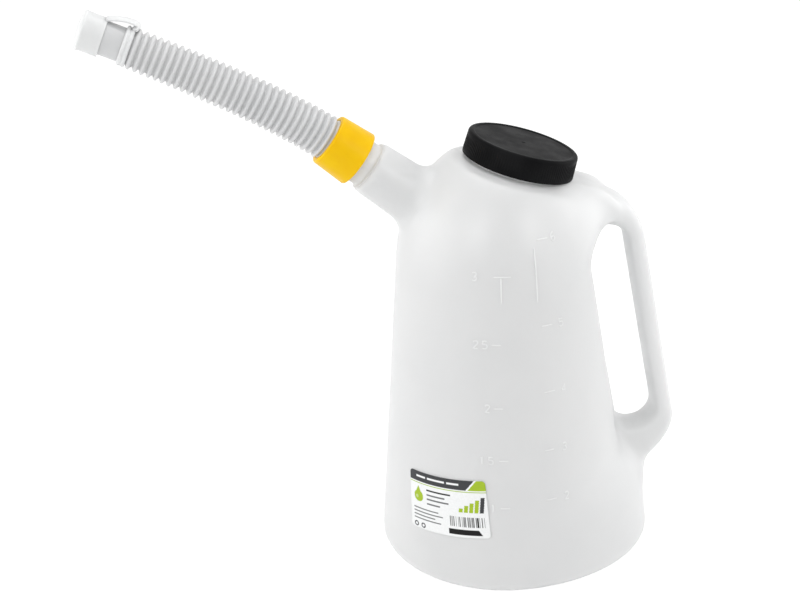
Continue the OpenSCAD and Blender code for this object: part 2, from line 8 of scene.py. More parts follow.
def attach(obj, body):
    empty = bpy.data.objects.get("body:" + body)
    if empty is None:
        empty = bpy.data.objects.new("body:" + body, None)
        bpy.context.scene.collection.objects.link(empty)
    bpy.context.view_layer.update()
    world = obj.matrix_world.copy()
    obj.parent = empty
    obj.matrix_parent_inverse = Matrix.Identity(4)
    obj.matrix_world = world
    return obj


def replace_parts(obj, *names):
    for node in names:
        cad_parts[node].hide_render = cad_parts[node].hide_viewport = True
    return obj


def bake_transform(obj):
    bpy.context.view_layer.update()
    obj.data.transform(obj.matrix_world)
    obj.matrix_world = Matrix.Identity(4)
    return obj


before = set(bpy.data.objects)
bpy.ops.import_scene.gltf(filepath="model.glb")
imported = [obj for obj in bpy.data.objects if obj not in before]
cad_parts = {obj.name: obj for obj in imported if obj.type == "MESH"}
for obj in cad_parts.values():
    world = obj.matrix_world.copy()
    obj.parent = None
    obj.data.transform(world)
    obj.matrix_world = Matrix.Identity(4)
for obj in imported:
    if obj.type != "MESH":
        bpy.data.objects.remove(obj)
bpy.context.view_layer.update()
mm = 0.001  # every shape below is worked out in millimetres


def turned(degrees):
    # cosine and sine of an angle in degrees
    return math.cos(math.radians(degrees)), math.sin(math.radians(degrees))


def ease(t):
    # a step from 0 to 1 with level ends: 3 t squared minus 2 t cubed
    t = np.clip(t, 0, 1)
    return t * t * (3 - 2 * t)


def softMin(a, b, k):
    # the smaller of two distances, with the crease filled over a width k
    h = np.clip(0.5 + 0.5 * (b - a) / k, 0, 1)
    return b + (a - b) * h - k * h * (1 - h)


def softMax(a, b, k):
    return -softMin(-a, -b, k)


# ---- meshes from arrays

def gridFaces(rows, cols, closedRows=False, closedCols=True):
    # quads of a grid, row by row; a closed direction joins its last line to its first
    r = np.arange(rows if closedRows else rows - 1)
    c = np.arange(cols if closedCols else cols - 1)
    i, j = np.meshgrid(r, c, indexing="ij")
    k, m = (i + 1) % rows, (j + 1) % cols
    return np.stack([i * cols + j, i * cols + m, k * cols + m, k * cols + j], -1).reshape(-1, 4)


def joined(*parts):
    # several (points, faces) as one, faces as a list of arrays by their number of corners
    points, faces, start = [], [], 0
    for p, fs in parts:
        points.append(p)
        faces += [f + start for f in (fs if isinstance(fs, list) else [fs])]
        start += len(p)
    return np.concatenate(points), faces


def makePiece(name, points, faces, material, body, slot, smooth=True):
    # a mesh object from points in millimetres and faces as a list of arrays
    faces = faces if isinstance(faces, list) else [faces]
    mesh = bpy.data.meshes.new(name)
    mesh.vertices.add(len(points))
    mesh.vertices.foreach_set("co", (points * mm).astype(np.float32).ravel())
    corners = np.concatenate([f.ravel() for f in faces]).astype(np.int32)
    sizes = np.concatenate([np.full(len(f), f.shape[1]) for f in faces]).astype(np.int32)
    mesh.loops.add(len(corners))
    mesh.loops.foreach_set("vertex_index", corners)
    mesh.polygons.add(len(sizes))
    mesh.polygons.foreach_set("loop_start", np.concatenate([[0], np.cumsum(sizes)[:-1]]).astype(np.int32))
    mesh.update(calc_edges=True)
    mesh.validate()
    mesh.polygons.foreach_set("use_smooth", np.full(len(mesh.polygons), smooth))
    obj = bpy.data.objects.new(name, mesh)
    bpy.context.scene.collection.objects.link(obj)
    mesh.materials.append(material)
    if body:
        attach(obj, body)
    print("made", name, len(points), "points")
    return obj


def rounded(corners, radius, steps=4):
    # a closed outline with each corner replaced by a short arc, as a quadratic curve between the cuts
    p = np.asarray(corners, float)
    radius = np.broadcast_to(np.asarray(radius, float), len(p))
    before, after = np.roll(p, 1, 0) - p, np.roll(p, -1, 0) - p
    lb, la = np.linalg.norm(before, axis=1), np.linalg.norm(after, axis=1)
    cut = np.minimum(radius, 0.45 * np.minimum(lb, la))
    a = p + before / lb[:, None] * cut[:, None]
    b = p + after / la[:, None] * cut[:, None]
    t = np.linspace(0, 1, steps + 1)[None, :, None]
    return ((1 - t) ** 2 * a[:, None] + 2 * t * (1 - t) * p[:, None] + t * t * b[:, None]).reshape(-1, 2)


def spun(outline, origin, axis, side, columns, closed=True, ripple=None):
    # an outline of (radius, height) turned round an axis: origin + height axis + radius (cos side + sin y);
    # an open outline begins and ends on the axis, and its ends become single points
    axis, side = np.asarray(axis, float), np.asarray(side, float)
    across = np.cross(axis, side)
    a = np.arange(columns) * 2 * np.pi / columns
    r, h = outline[:, 0], outline[:, 1]
    if not closed:
        r, h = r[1:-1], h[1:-1]
    r = r[:, None] + (ripple(r, h, a) if ripple else np.zeros((len(r), columns)))
    round_ = np.cos(a)[:, None] * side + np.sin(a)[:, None] * across
    points = origin + h[:, None, None] * axis + r[..., None] * round_[None]
    rows = len(r)
    points = points.reshape(-1, 3)
    faces = [gridFaces(rows, columns, closedRows=closed)]
    if not closed:
        low, high = len(points), len(points) + 1
        points = np.concatenate([points, [origin + outline[0, 1] * axis, origin + outline[-1, 1] * axis]])
        c = np.arange(columns)
        n = (c + 1) % columns
        last = (rows - 1) * columns
        faces.append(np.stack([np.full(columns, low), n, c], -1))
        faces.append(np.stack([np.full(columns, high), last + c, last + n], -1))
    return points, faces


def threadRidge(origin, axis, side, inner, outer, rootWidth, tipWidth, start, pitch, turns, outward=True):
    # a helix of a rounded ridge between two radii: height = start + pitch angle / full turn,
    # its height above the wall fading at both ends
    axis, side = np.asarray(axis, float), np.asarray(side, float)
    across = np.cross(axis, side)
    t = np.linspace(0, turns, int(turns * 72) + 1)
    fade = np.minimum(ease(t / 0.12), ease((turns - t) / 0.12))[:, None]
    u = np.linspace(-1, 1, 9)
    bulge = 1 - np.abs(u) ** 3
    half = (rootWidth / 2) * np.sign(u) * np.abs(u) ** 0.8 * (1 - 0.0 * bulge)
    half = np.where(bulge > 0.5, np.clip(half, -tipWidth * 0.75, tipWidth * 0.75), half)
    root, tip = (inner, outer) if outward else (outer, inner)
    r = root + (tip - root) * bulge * (0.25 + 0.75 * fade)
    a = 2 * np.pi * t[:, None]
    round_ = np.cos(a)[..., None] * side + np.sin(a)[..., None] * across
    h = start + pitch * t[:, None] + half * (0.35 + 0.65 * fade)
    points = origin + h[..., None] * axis + r[..., None] * round_
    rows, cols = r.shape
    faces = gridFaces(rows, cols)  # the back of the ridge lies inside its wall
    ends = np.arange(1, cols - 1)
    first = np.stack([np.zeros_like(ends), ends, ends + 1], -1)
    last = (rows - 1) * cols + np.stack([np.zeros_like(ends), ends + 1, ends], -1)
    if outward:
        faces, first, last = faces[:, ::-1], first[:, ::-1], last[:, ::-1]
    return points.reshape(-1, 3), [faces, first, last]


# ---- materials

def nodesOf(material):
    material.use_nodes = True
    tree = material.node_tree
    return tree, tree.nodes["Principled BSDF"]


def noiseAt(tree, coords, scale, detail=2.0, roughness=0.5):
    n = tree.nodes.new("ShaderNodeTexNoise")
    n.inputs["Scale"].default_value = scale
    n.inputs["Detail"].default_value = detail
    n.inputs["Roughness"].default_value = roughness
    tree.links.new(coords, n.inputs["Vector"])
    return n.outputs["Fac"]


def ranged(tree, value, low, high, fromLow=0.35, fromHigh=0.65):
    n = tree.nodes.new("ShaderNodeMapRange")
    for name, v in (("From Min", fromLow), ("From Max", fromHigh), ("To Min", low), ("To Max", high)):
        n.inputs[name].default_value = v
    tree.links.new(value, n.inputs["Value"])
    return n.outputs["Result"]


def blendColour(tree, factor, first, second):
    n = tree.nodes.new("ShaderNodeMix")
    n.data_type = "RGBA"
    n.inputs[6].default_value = (*first, 1)
    n.inputs[7].default_value = (*second, 1)
    tree.links.new(factor, n.inputs[0])
    return n.outputs[2]


def bumped(tree, height, distance, strength=1.0, under=None):
    n = tree.nodes.new("ShaderNodeBump")
    n.inputs["Strength"].default_value = strength
    n.inputs["Distance"].default_value = distance
    tree.links.new(height, n.inputs["Height"])
    if under:
        tree.links.new(under, n.inputs["Normal"])
    return n.outputs["Normal"]


def mathNode(tree, operation, a, b=None):
    n = tree.nodes.new("ShaderNodeMath")
    n.operation = operation
    for i, v in enumerate((a, b)):
        if v is None:
            continue
        if isinstance(v, (int, float)):
            n.inputs[i].default_value = v
        else:
            tree.links.new(v, n.inputs[i])
    return n.outputs[0]


def mouldedPlastic(name, look):
    # soft moulded plastic: a slow tint, a fine peel on the skin, faint rubbing in its gloss, and light that enters it
    material = bpy.data.materials.new(name)
    tree, shader = nodesOf(material)
    coords = tree.nodes.new("ShaderNodeTexCoord").outputs["Object"]
    tint = ranged(tree, noiseAt(tree, coords, look["tintScale"], 3), 0, 1)
    tree.links.new(blendColour(tree, tint, look["colour"], look["shade"]), shader.inputs["Base Color"])
    rub = noiseAt(tree, coords, look["rubScale"], 4, 0.6)
    tree.links.new(ranged(tree, rub, *look["roughness"]), shader.inputs["Roughness"])
    peel = noiseAt(tree, coords, look["peelScale"], 3, 0.55)
    normal = bumped(tree, peel, look["peel"])
    if look.get("seam"):
        apart = tree.nodes.new("ShaderNodeSeparateXYZ")
        tree.links.new(coords, apart.inputs[0])
        away = mathNode(tree, "ABSOLUTE", apart.outputs["Y"])
        normal = bumped(tree, ranged(tree, away, 1, 0, 0.0001, 0.0005), look["seam"], under=normal)
    tree.links.new(normal, shader.inputs["Normal"])
    shader.inputs["Specular IOR Level"].default_value = look.get("gloss", 0.5)
    if look.get("depth"):
        shader.inputs["Subsurface Weight"].default_value = look["soft"]
        shader.inputs["Subsurface Radius"].default_value = (1.0, 1.0, 1.0)
        shader.inputs["Subsurface Scale"].default_value = look["depth"]
    if look.get("sheer"):
        shader.inputs["Transmission Weight"].default_value = look["sheer"]
    if look.get("coat"):
        shader.inputs["Coat Weight"].default_value = look["coat"]
        shader.inputs["Coat Roughness"].default_value = look.get("coatRoughness", 0.15)
    return material


tankPlastic = mouldedPlastic("milkyPolyethylene", dict(
    colour=(0.80, 0.805, 0.805), shade=(0.77, 0.778, 0.78), tintScale=14, rubScale=60, roughness=(0.30, 0.40),
    peelScale=420, peel=0.00006, seam=0.00012, soft=0.6, depth=0.006))
hosePlastic = mouldedPlastic("softClearPlastic", dict(
    colour=(0.66, 0.663, 0.665), shade=(0.62, 0.625, 0.63), tintScale=30, rubScale=90, roughness=(0.26, 0.36),
    peelScale=700, peel=0.00004, soft=0.15, depth=0.003))
tipPlastic = mouldedPlastic("milkySoftPlastic", dict(
    colour=(0.80, 0.81, 0.81), shade=(0.76, 0.77, 0.775), tintScale=40, rubScale=120, roughness=(0.28, 0.38),
    peelScale=800, peel=0.00004, soft=0.6, depth=0.004))
capPlastic = mouldedPlastic("blackPlastic", dict(
    colour=(0.006, 0.006, 0.0065), shade=(0.010, 0.010, 0.0105), tintScale=50, rubScale=80, roughness=(0.36, 0.48),
    peelScale=900, peel=0.00005, gloss=0.025))
nutPlastic = mouldedPlastic("yellowPlastic", dict(
    colour=(0.90, 0.56, 0.001), shade=(0.85, 0.49, 0.001), tintScale=50, rubScale=90, roughness=(0.30, 0.40),
    peelScale=800, peel=0.00004, gloss=0.15, soft=0.3, depth=0.002))
linerFoam = mouldedPlastic("whiteFoam", dict(
    colour=(0.78, 0.78, 0.75), shade=(0.72, 0.72, 0.69), tintScale=60, rubScale=300, roughness=(0.7, 0.85),
    peelScale=1500, peel=0.0002))
print("materials ready")

# ---- the jug

jug = dict(
    footR=77.2, draft=4.8, noseX=91.6, shoulderZ=188, wall=1.6, edge=4.3, lift=1.4,
    kneeX=106.9, kneeZ=74, rootZ=30, lean=10.2, gripHalf=12.5, gripT=11.6, bridgeZ=222.6, bridgeFall=5.7,
    slotW=23.4, slotLow=68, slotHigh=202, slotFlare=4,
    bridgeTurn=10, bridgeFade=60, bridgeLift=0.2,
    neckX=10.8, neckZ=241.4, tilt=16.2, collarR=41, collarDrop=3, collarGap=1.1, shoulderSlope=48,
    neckR=29.7, neckWall=2.4, neckRim=10.5, threadH=1.2, neckThreadZ=4.4, pitch=4,
    spoutX=-75.5, spoutZ=246.6, rise=38.5, spoutR=15.6, spoutBaseR=16.8, spoutLen=26,
    spoutNeckR=13.1, spoutNeckWall=2.2, spoutNeckLen=22, spoutThreadH=1.0,
    inset=0.15,  # keeps the skin's crown inside the solid's box
    step=2.0)  # size of the mesh's cells

neckAt = np.array([jug["neckX"], 0, jug["neckZ"]])
ct, st = turned(jug["tilt"])
neckAxis, neckSide = np.array([st, 0, ct]), np.array([ct, 0, -st])
spoutAt = np.array([jug["spoutX"], 0, jug["spoutZ"]])
cr, sr = turned(jug["rise"])
spoutAxis, spoutSide = np.array([-cr, 0, sr]), np.array([sr, 0, cr])


def tankAt(z):
    # radius of the tank's round side: the foot's radius less the height's share by the draft
    return jug["footR"] - z * math.tan(math.radians(jug["draft"]))


def gripEdge(z):
    # reach of the handle's outer edge and its slope: a leaning line above the knee,
    # below it low + (line - low) (1 - left squared), which runs into the foot's nose
    low = tankAt(jug["rootZ"]) * jug["noseX"] / jug["footR"] * 0.7
    lean = math.tan(math.radians(jug["lean"]))
    line = jug["kneeX"] - np.maximum(z - jug["kneeZ"], 0) * lean
    span = jug["kneeZ"] - jug["rootZ"] + jug["edge"]
    left = np.clip((jug["kneeZ"] - z) / span, 0, 1)
    slope = np.where(z > jug["kneeZ"], lean, 2 * left / span * (line - low))
    return low + (line - low) * (1 - left * left), slope


slotRun = jug["slotW"] / 2
cl, sl = turned(jug["lean"])


def slotMid(z):
    return jug["kneeX"] - (z - jug["kneeZ"]) * sl / cl - (jug["gripT"] + slotRun) / cl


slotFoot = np.array([slotMid(jug["slotLow"] + slotRun), jug["slotLow"] + slotRun])
slotHead = np.array([slotMid(jug["slotHigh"] - slotRun), jug["slotHigh"] - slotRun])


def jugField(x, y, z):
    # distance to the jug's outside, negative inside: the leaning egg-shaped side, cut by the shoulder's cone,
    # the collar and the floor, joined to the grip and the spout, with the finger slot taken out
    side = tankAt(z)
    nose = side * (1 + (jug["noseX"] / jug["footR"] - 1)
                   * (1 - ease((z - jug["rootZ"]) / (jug["slotLow"] - jug["rootZ"]))))
    rho = np.sqrt(x * x + y * y + 1e-9)
    facing = (x / rho) ** 2
    section = 1 / np.sqrt(facing / np.where(x > 0, nose, side) ** 2 + (1 - facing) / side ** 2)
    tank = (rho - section) * turned(jug["draft"])[0]
    # the neck's own frame
    dx, dz = x - jug["neckX"], z - jug["neckZ"]
    up, out = dx * st + dz * ct, np.sqrt((dx * ct - dz * st) ** 2 + y * y)
    # the roof falls gently over the collar, then steeply all round but hardly towards the handle
    share = ease((np.degrees(np.arctan2(np.abs(y), x)) - jug["bridgeTurn"]) / jug["bridgeFade"])
    steep = share * math.tan(math.radians(jug["shoulderSlope"])) - (1 - share) * jug["bridgeLift"]
    inner, outer = jug["neckR"] - jug["neckWall"] / 2, jug["collarR"]
    fall = jug["collarDrop"] / (outer - inner)
    drop = jug["collarGap"] + fall * softMin(out - inner, outer - inner, 3) + steep * softMax(out - outer, 0, 3)
    slope = fall + (steep - fall) * ease((out - outer) / 3 + 0.5)
    body = softMax(tank, (up + drop) / np.sqrt(1 + slope ** 2), 18 + 16 * np.clip(-x / rho, 0, 1))
    # the grip, a rounded slab between its outer edge and its top line
    edge, slope = gripEdge(z)
    outer = (x - edge) / np.sqrt(1 + slope * slope)
    cb, sb = turned(jug["bridgeFall"])
    top = (z - jug["bridgeZ"]) * cb + (x - 83.4) * sb
    grip = softMax(softMax(outer, top, 30), np.abs(y) - jug["gripHalf"], 8)
    grip = np.maximum(grip, 20 - x)
    web = ease((z - 172) / 25) * ease((np.abs(y) - 6) / 8)
    body = softMin(body, grip, 6 + 8 * (1 - ease((z - 45) / 30)) + 12 * web)
    # the spout, a cone down from its step
    sx, sz = x - jug["spoutX"], z - jug["spoutZ"]
    down = sx * cr - sz * sr
    away = np.sqrt((sx * sr + sz * cr) ** 2 + y * y)
    tube = away - jug["spoutR"] - (jug["spoutBaseR"] - jug["spoutR"]) * down / jug["spoutLen"]
    spout = np.maximum(softMax(tube, -down, 3.5), down - 52)
    body = softMin(body, spout, 9)
    # the finger slot, wider at both faces
    run = slotHead - slotFoot
    t = np.clip(((x - slotFoot[0]) * run[0] + (z - slotFoot[1]) * run[1]) / (run @ run), 0, 1)
    flare = jug["slotFlare"] * (1 - np.sqrt(1 - np.clip(np.abs(y) / jug["gripHalf"], 0, 1) ** 2))
    slot = np.hypot(x - slotFoot[0] - t * run[0], z - slotFoot[1] - t * run[1]) - slotRun - flare
    body = softMax(body, -slot, 3)
    # the floor, hollow inside its standing ring
    hollow = jug["lift"] * ease((-(rho - section) - 10) / 6)
    return softMax(body, hollow - jug["inset"] - z, 5)


def skin(iso, step):
    # the surface where the field has a value, as a net: one point in each cell that the surface crosses,
    # at the mean of its edges' crossings, and a quad round each crossed edge; then the points are evened out
    low, high = np.array([-94.0, -84, -4]), np.array([114.0, 84, 262])
    n = np.ceil((high - low) / step).astype(int) + 1
    x, y, z = (low[i] + step * np.arange(n[i]) for i in range(3))
    f = jugField(x[:, None, None], y[None, :, None], z[None, None, :]) - iso
    cells = np.array(f.shape) - 1
    total, count = np.zeros((*cells, 3)), np.zeros(cells)
    crossings = []
    grid = [x[:, None, None], y[None, :, None], z[None, None, :]]
    for axis in range(3):
        a = np.take(f, np.arange(f.shape[axis] - 1), axis)
        b = np.take(f, np.arange(1, f.shape[axis]), axis)
        hit = (a < 0) != (b < 0)
        t = np.where(hit, a / np.where(a == b, 1, a - b), 0)
        where = np.argwhere(hit)
        point = np.stack([low[i] + step * where[:, i] for i in range(3)], -1)
        point[:, axis] += step * t[hit]
        others = [i for i in range(3) if i != axis]
        for da in (0, 1):
            for db in (0, 1):
                cell = where.copy()
                cell[:, others[0]] -= da
                cell[:, others[1]] -= db
                flat = np.ravel_multi_index(cell.T, cells)
                for i in range(3):
                    total[..., i] += np.bincount(flat, point[:, i], cells.prod()).reshape(cells)
                count += np.bincount(flat, minlength=cells.prod()).reshape(cells)
        crossings.append((where, (a < 0)[hit], others, axis))
    used = count > 0
    index = np.cumsum(used.ravel()).reshape(cells) - 1
    points = total[used] / count[used][:, None]
    faces = []
    for where, inside, others, axis in crossings:
        quad = []
        for da, db in ((0, 0), (1, 0), (1, 1), (0, 1)):
            cell = where.copy()
            cell[:, others[0]] -= da
            cell[:, others[1]] -= db
            quad.append(index[tuple(cell.T)])
        quad = np.stack(quad, -1)
        flip = inside if axis == 1 else ~inside
        quad[flip] = quad[flip][:, ::-1]
        faces.append(quad)
    faces = np.concatenate(faces)
    pairs = np.concatenate([faces[:, [0, 1]], faces[:, [1, 2]], faces[:, [2, 3]], faces[:, [3, 0]]])
    mates = np.bincount(pairs[:, 0], minlength=len(points))
    for turn in range(6):
        if turn:
            around = np.stack([np.bincount(pairs[:, 0], points[pairs[:, 1], i], len(points)) for i in range(3)], -1)
            points = points + 0.6 * (around / mates[:, None] - points)
        for pull in range(2):
            value, slope = fieldSlope(points)
            points = points - ((value - iso) / np.maximum((slope ** 2).sum(1), 0.2))[:, None] * slope
    return points, faces


def fieldSlope(p):
    # the field at points and its slope, from small steps both ways
    h = 0.05
    value = jugField(*p.T)
    slope = np.stack([(jugField(*(p + h * e).T) - jugField(*(p - h * e).T)) / (2 * h) for e in np.eye(3)], -1)
    return value, slope


def cutHole(points, faces, origin, axis, side, radius, near):
    # takes out the quads inside a circle and draws the edge that is left onto it; returns that edge by its angle
    across = np.cross(axis, side)
    rel = points - origin
    u, v, h = rel @ side, rel @ across, rel @ axis
    inside = (np.hypot(u, v) < radius) & (np.abs(h) < near)
    gone = inside[faces].all(1)
    kept = faces[~gone]
    edge = np.intersect1d(np.unique(faces[gone]), np.unique(kept))
    angle = np.arctan2(v[edge], u[edge])
    points = points.copy()
    points[edge] = (origin + h[edge, None] * axis + radius * (
        np.cos(angle)[:, None] * side + np.sin(angle)[:, None] * across))
    order = np.argsort(angle)
    return points, kept, edge[order], angle[order]


def zipped(first, firstAngle, second, secondAngle):
    # triangles between two rings of points, taken in turn by their angle
    isFirst = np.concatenate([np.ones(len(first), bool), np.zeros(len(second), bool)])
    order = np.argsort(np.concatenate([firstAngle, secondAngle]), kind="stable")
    isFirst = isFirst[order]
    i = (np.cumsum(isFirst) - 1) % len(first)
    j = (np.cumsum(~isFirst) - 1) % len(second)
    pi, pj = np.roll(i, 1), np.roll(j, 1)
    a = np.stack([first[pi], first[i], second[j]], -1)[isFirst]
    b = np.stack([first[i], second[j], second[pj]], -1)[~isFirst]
    return np.concatenate([a, b])


def jugShell():
    # the outer skin and the inner skin one wall further in, joined round the filler's and the spout's openings
    outer, outerFaces = skin(-jug["inset"], jug["step"])
    inner, innerFaces = skin(-jug["inset"] - jug["wall"], jug["step"])
    innerFaces = innerFaces[:, ::-1]
    strips = []
    for origin, axis, side, radius in (
            (neckAt, neckAxis, neckSide, jug["neckR"] - jug["neckWall"] / 2),
            (spoutAt, spoutAxis, spoutSide, jug["spoutNeckR"] - jug["spoutNeckWall"] / 2)):
        outer, outerFaces, a, aAngle = cutHole(outer, outerFaces, origin, axis, side, radius, 6)
        inner, innerFaces, b, bAngle = cutHole(inner, innerFaces, origin, axis, side, radius, 6)
        strips.append(zipped(a, aAngle, b + len(outer), bAngle))
    points, faces = joined((outer, outerFaces), (inner, innerFaces))
    faces += strips
    used = np.unique(np.concatenate([f.ravel() for f in faces]))
    new = np.full(len(points), -1)
    new[used] = np.arange(len(used))
    return points[used], [new[f] for f in faces]


points, faces = jugShell()
jugBody = makePiece("jugShell", points, faces, tankPlastic, "jug", "milky_polyethylene")
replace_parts(jugBody, "jug_foot", "jug_side", "jug_grip", "jug_shoulder", "handle_top", "spout_root")


def neckFinish():
    # the filler's neck: a ring outline with rounded rims, and its thread
    r, w = jug["neckR"], jug["neckWall"]
    outline = rounded([(r - w, -jug["collarGap"] - 1.5), (r, -jug["collarGap"] - 1.5),
                       (r, jug["neckRim"]), (r - w, jug["neckRim"])], [0.2, 0.2, 0.7, 0.7])
    ring = spun(outline, neckAt, neckAxis, neckSide, 144)
    thread = threadRidge(neckAt, neckAxis, neckSide, r - 0.5, r + jug["threadH"], 1.7, 0.8,
                         jug["neckThreadZ"], jug["pitch"], 1.25)
    return joined(ring, thread)


def spoutNeck():
    # the spout's neck: a ring with a concave quarter circle at its root and round rims, and its thread
    r, w, length = jug["spoutNeckR"], jug["spoutNeckWall"], jug["spoutNeckLen"]
    a, root, edge = np.linspace(0, np.pi / 2, 7), 1.5, 0.5
    outline = np.concatenate([
        [(r - w, -1.4), (r + root, -1.4)],
        np.stack([r + root * (1 - np.sin(a)), root * (1 - np.cos(a)) - 0.5], -1),
        np.stack([r - edge * (1 - np.cos(a)), length - edge * (1 - np.sin(a))], -1),
        np.stack([r - w + edge * (1 - np.sin(a)), length - edge * (1 - np.cos(a))], -1)])
    ring = spun(outline, spoutAt, spoutAxis, spoutSide, 96)
    start = length - 1.2 - jug["pitch"] * 2.5
    thread = threadRidge(spoutAt, spoutAxis, spoutSide, r - 0.5, r + jug["spoutThreadH"], 1.7, 0.8,
                         start, jug["pitch"], 2.5)
    return joined(ring, thread)


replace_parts(makePiece("fillerNeck", *neckFinish(), tankPlastic, "jug", "milky_polyethylene"), "filler_neck")
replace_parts(makePiece("spoutNeck", *spoutNeck(), tankPlastic, "jug", "milky_polyethylene"), "spout_end")

# ---- the raised scale

marks = dict(bead=0.45, stand=0.27, tall=4.6, wide=2.7, apart=3.7, spacing=0.45,
             # angle from the handle and height of each numeral's middle, and the ends of the line beside it
             left=[("3", -112.6, 196.8, -102.7, -93.4), ("2.5", -109.5, 157.2, -103.8, -99.0),
                   ("2", -106.0, 118.8, -103.0, -98.4), ("1.5", -106.5, 86.3, -100.6, -96.0),
                   ("1", -103.5, 56.0, -100.1, -95.5)],
             right=[("6", -66.5, 214.8, -77.5, -70.1), ("5", -67.0, 166.4, -78.4, -72.0),
                    ("4", -67.0, 126.5, -78.0, -71.8), ("3", -68.0, 90.3, -78.6, -73.5),
                    ("2", -68.0, 58.8, -78.2, -73.2)],
             uprights=[(-98.6, 181.7, 196.1), (-79.7, 180.6, 211.2)])
figures = {
    "1": [(0.2, 0.8), (0.55, 1), (0.55, 0)],
    "2": [(0, 0.75), (0.15, 0.94), (0.5, 1), (0.85, 0.94), (1, 0.72), (0.8, 0.5), (0, 0), (1, 0)],
    "3": [(0, 0.9), (0.3, 1), (0.7, 1), (0.95, 0.8), (0.8, 0.58), (0.4, 0.53), (0.85, 0.47), (1, 0.25), (0.75, 0.03),
          (0.3, 0), (0, 0.12)],
    "4": [(0.75, 0), (0.75, 1), (0, 0.3), (1, 0.3)],
    "5": [(0.95, 1), (0.1, 1), (0.02, 0.55), (0.5, 0.63), (0.9, 0.5), (1, 0.28), (0.75, 0.03), (0.3, 0), (0, 0.12)],
    "6": [(0.9, 0.94), (0.5, 1), (0.15, 0.75), (0, 0.32), (0.2, 0.06), (0.6, 0), (0.95, 0.16), (0.95, 0.4),
          (0.6, 0.55), (0.1, 0.42)],
    ".": [(0.3, 0), (0.45, 0)]}


def onTank(angle, z):
    # the point of the jug's skin at an angle and height, found by stepping in or out by the field's value
    c, s = np.cos(np.radians(angle)), np.sin(np.radians(angle))
    r = tankAt(z) + 2
    for step in range(12):
        r = r - 0.9 * (jugField(r * c, r * s, z) + jug["inset"])
    return np.stack([r * c, r * s, z], -1)


def bead(angle, z):
    # a round bead along a line on the skin: a ring of points round each station, half sunk in the wall
    angle, z = np.asarray(angle, float), np.asarray(z, float)
    run = np.hypot(np.diff(np.radians(angle)) * tankAt(z[1:]), np.diff(z))
    length = np.concatenate([[0], np.cumsum(run)])
    at = np.linspace(0, length[-1], max(int(length[-1] / marks["spacing"]), 3) + 1)
    centre = onTank(np.interp(at, length, angle), np.interp(at, length, z))
    out = fieldSlope(centre)[1]
    out /= np.linalg.norm(out, axis=1)[:, None]
    along = np.gradient(centre, axis=0)
    along /= np.linalg.norm(along, axis=1)[:, None]
    across = np.cross(along, out)
    t = np.arange(8) * np.pi / 4
    size = marks["bead"] * np.minimum(1, 0.35 + np.minimum(at, length[-1] - at)[:, None] / marks["bead"] * 0.65)
    points = (centre + (marks["stand"] - marks["bead"]) * out)[:, None] + size[..., None] * (
        np.cos(t)[:, None] * across[:, None] + np.sin(t)[:, None] * out[:, None])
    rows = len(points)
    ring = np.arange(8)
    ends = [np.stack([np.zeros(6, int), ring[2:], ring[1:-1]], -1),
            (rows - 1) * 8 + np.stack([np.zeros(6, int), ring[1:-1], ring[2:]], -1)]
    return points.reshape(-1, 3), [gridFaces(rows, 8), *ends]


def volumeScale():
    # numerals, each with its short line, on both sides of the middle, and two upright lines
    parts = []
    for text, middle, z, first, last in marks["left"] + marks["right"]:
        parts.append(bead([first, last], [z, z]))
        start = -(len(text.replace(".", "")) - 1) * marks["apart"] / 2 - ("." in text) * 0.8 - marks["wide"] / 2
        for figure in text:
            path = np.array(figures[figure])
            shift = (start + path[:, 0] * marks["wide"]) / tankAt(z)
            parts.append(bead(middle + np.degrees(shift), z + (path[:, 1] - 0.5) * marks["tall"]))
            start += 1.6 if figure == "." else marks["apart"]
    parts += [bead([angle, angle], [low, high]) for angle, low, high in marks["uprights"]]
    return joined(*parts)


# the scale's beads: the tank's milky plastic without light entering it, painted lighter (0.86 against 0.80) as painted
# light that offsets the dark shading of the raised lines
scalePlasticPaintedLighter = mouldedPlastic("milkyScalePaintedLighter", dict(
    colour=(0.86, 0.865, 0.865), shade=(0.83, 0.838, 0.84), tintScale=14, rubScale=60, roughness=(0.30, 0.40),
    peelScale=420, peel=0.00003))
makePiece("volumeScale", *volumeScale(), scalePlasticPaintedLighter, "jug", "milky_polyethylene")

# ---- the filler cap and its liner

cap = dict(height=13.5, skirt=1.7, taper=0.5, round=1.7, rim=1.6, sink=0.4, liner=1.2, gap=0.25,
           ribs=132, ribDepth=0.22, ribLow=1.4, ribHigh=11.0, gate=1.3)


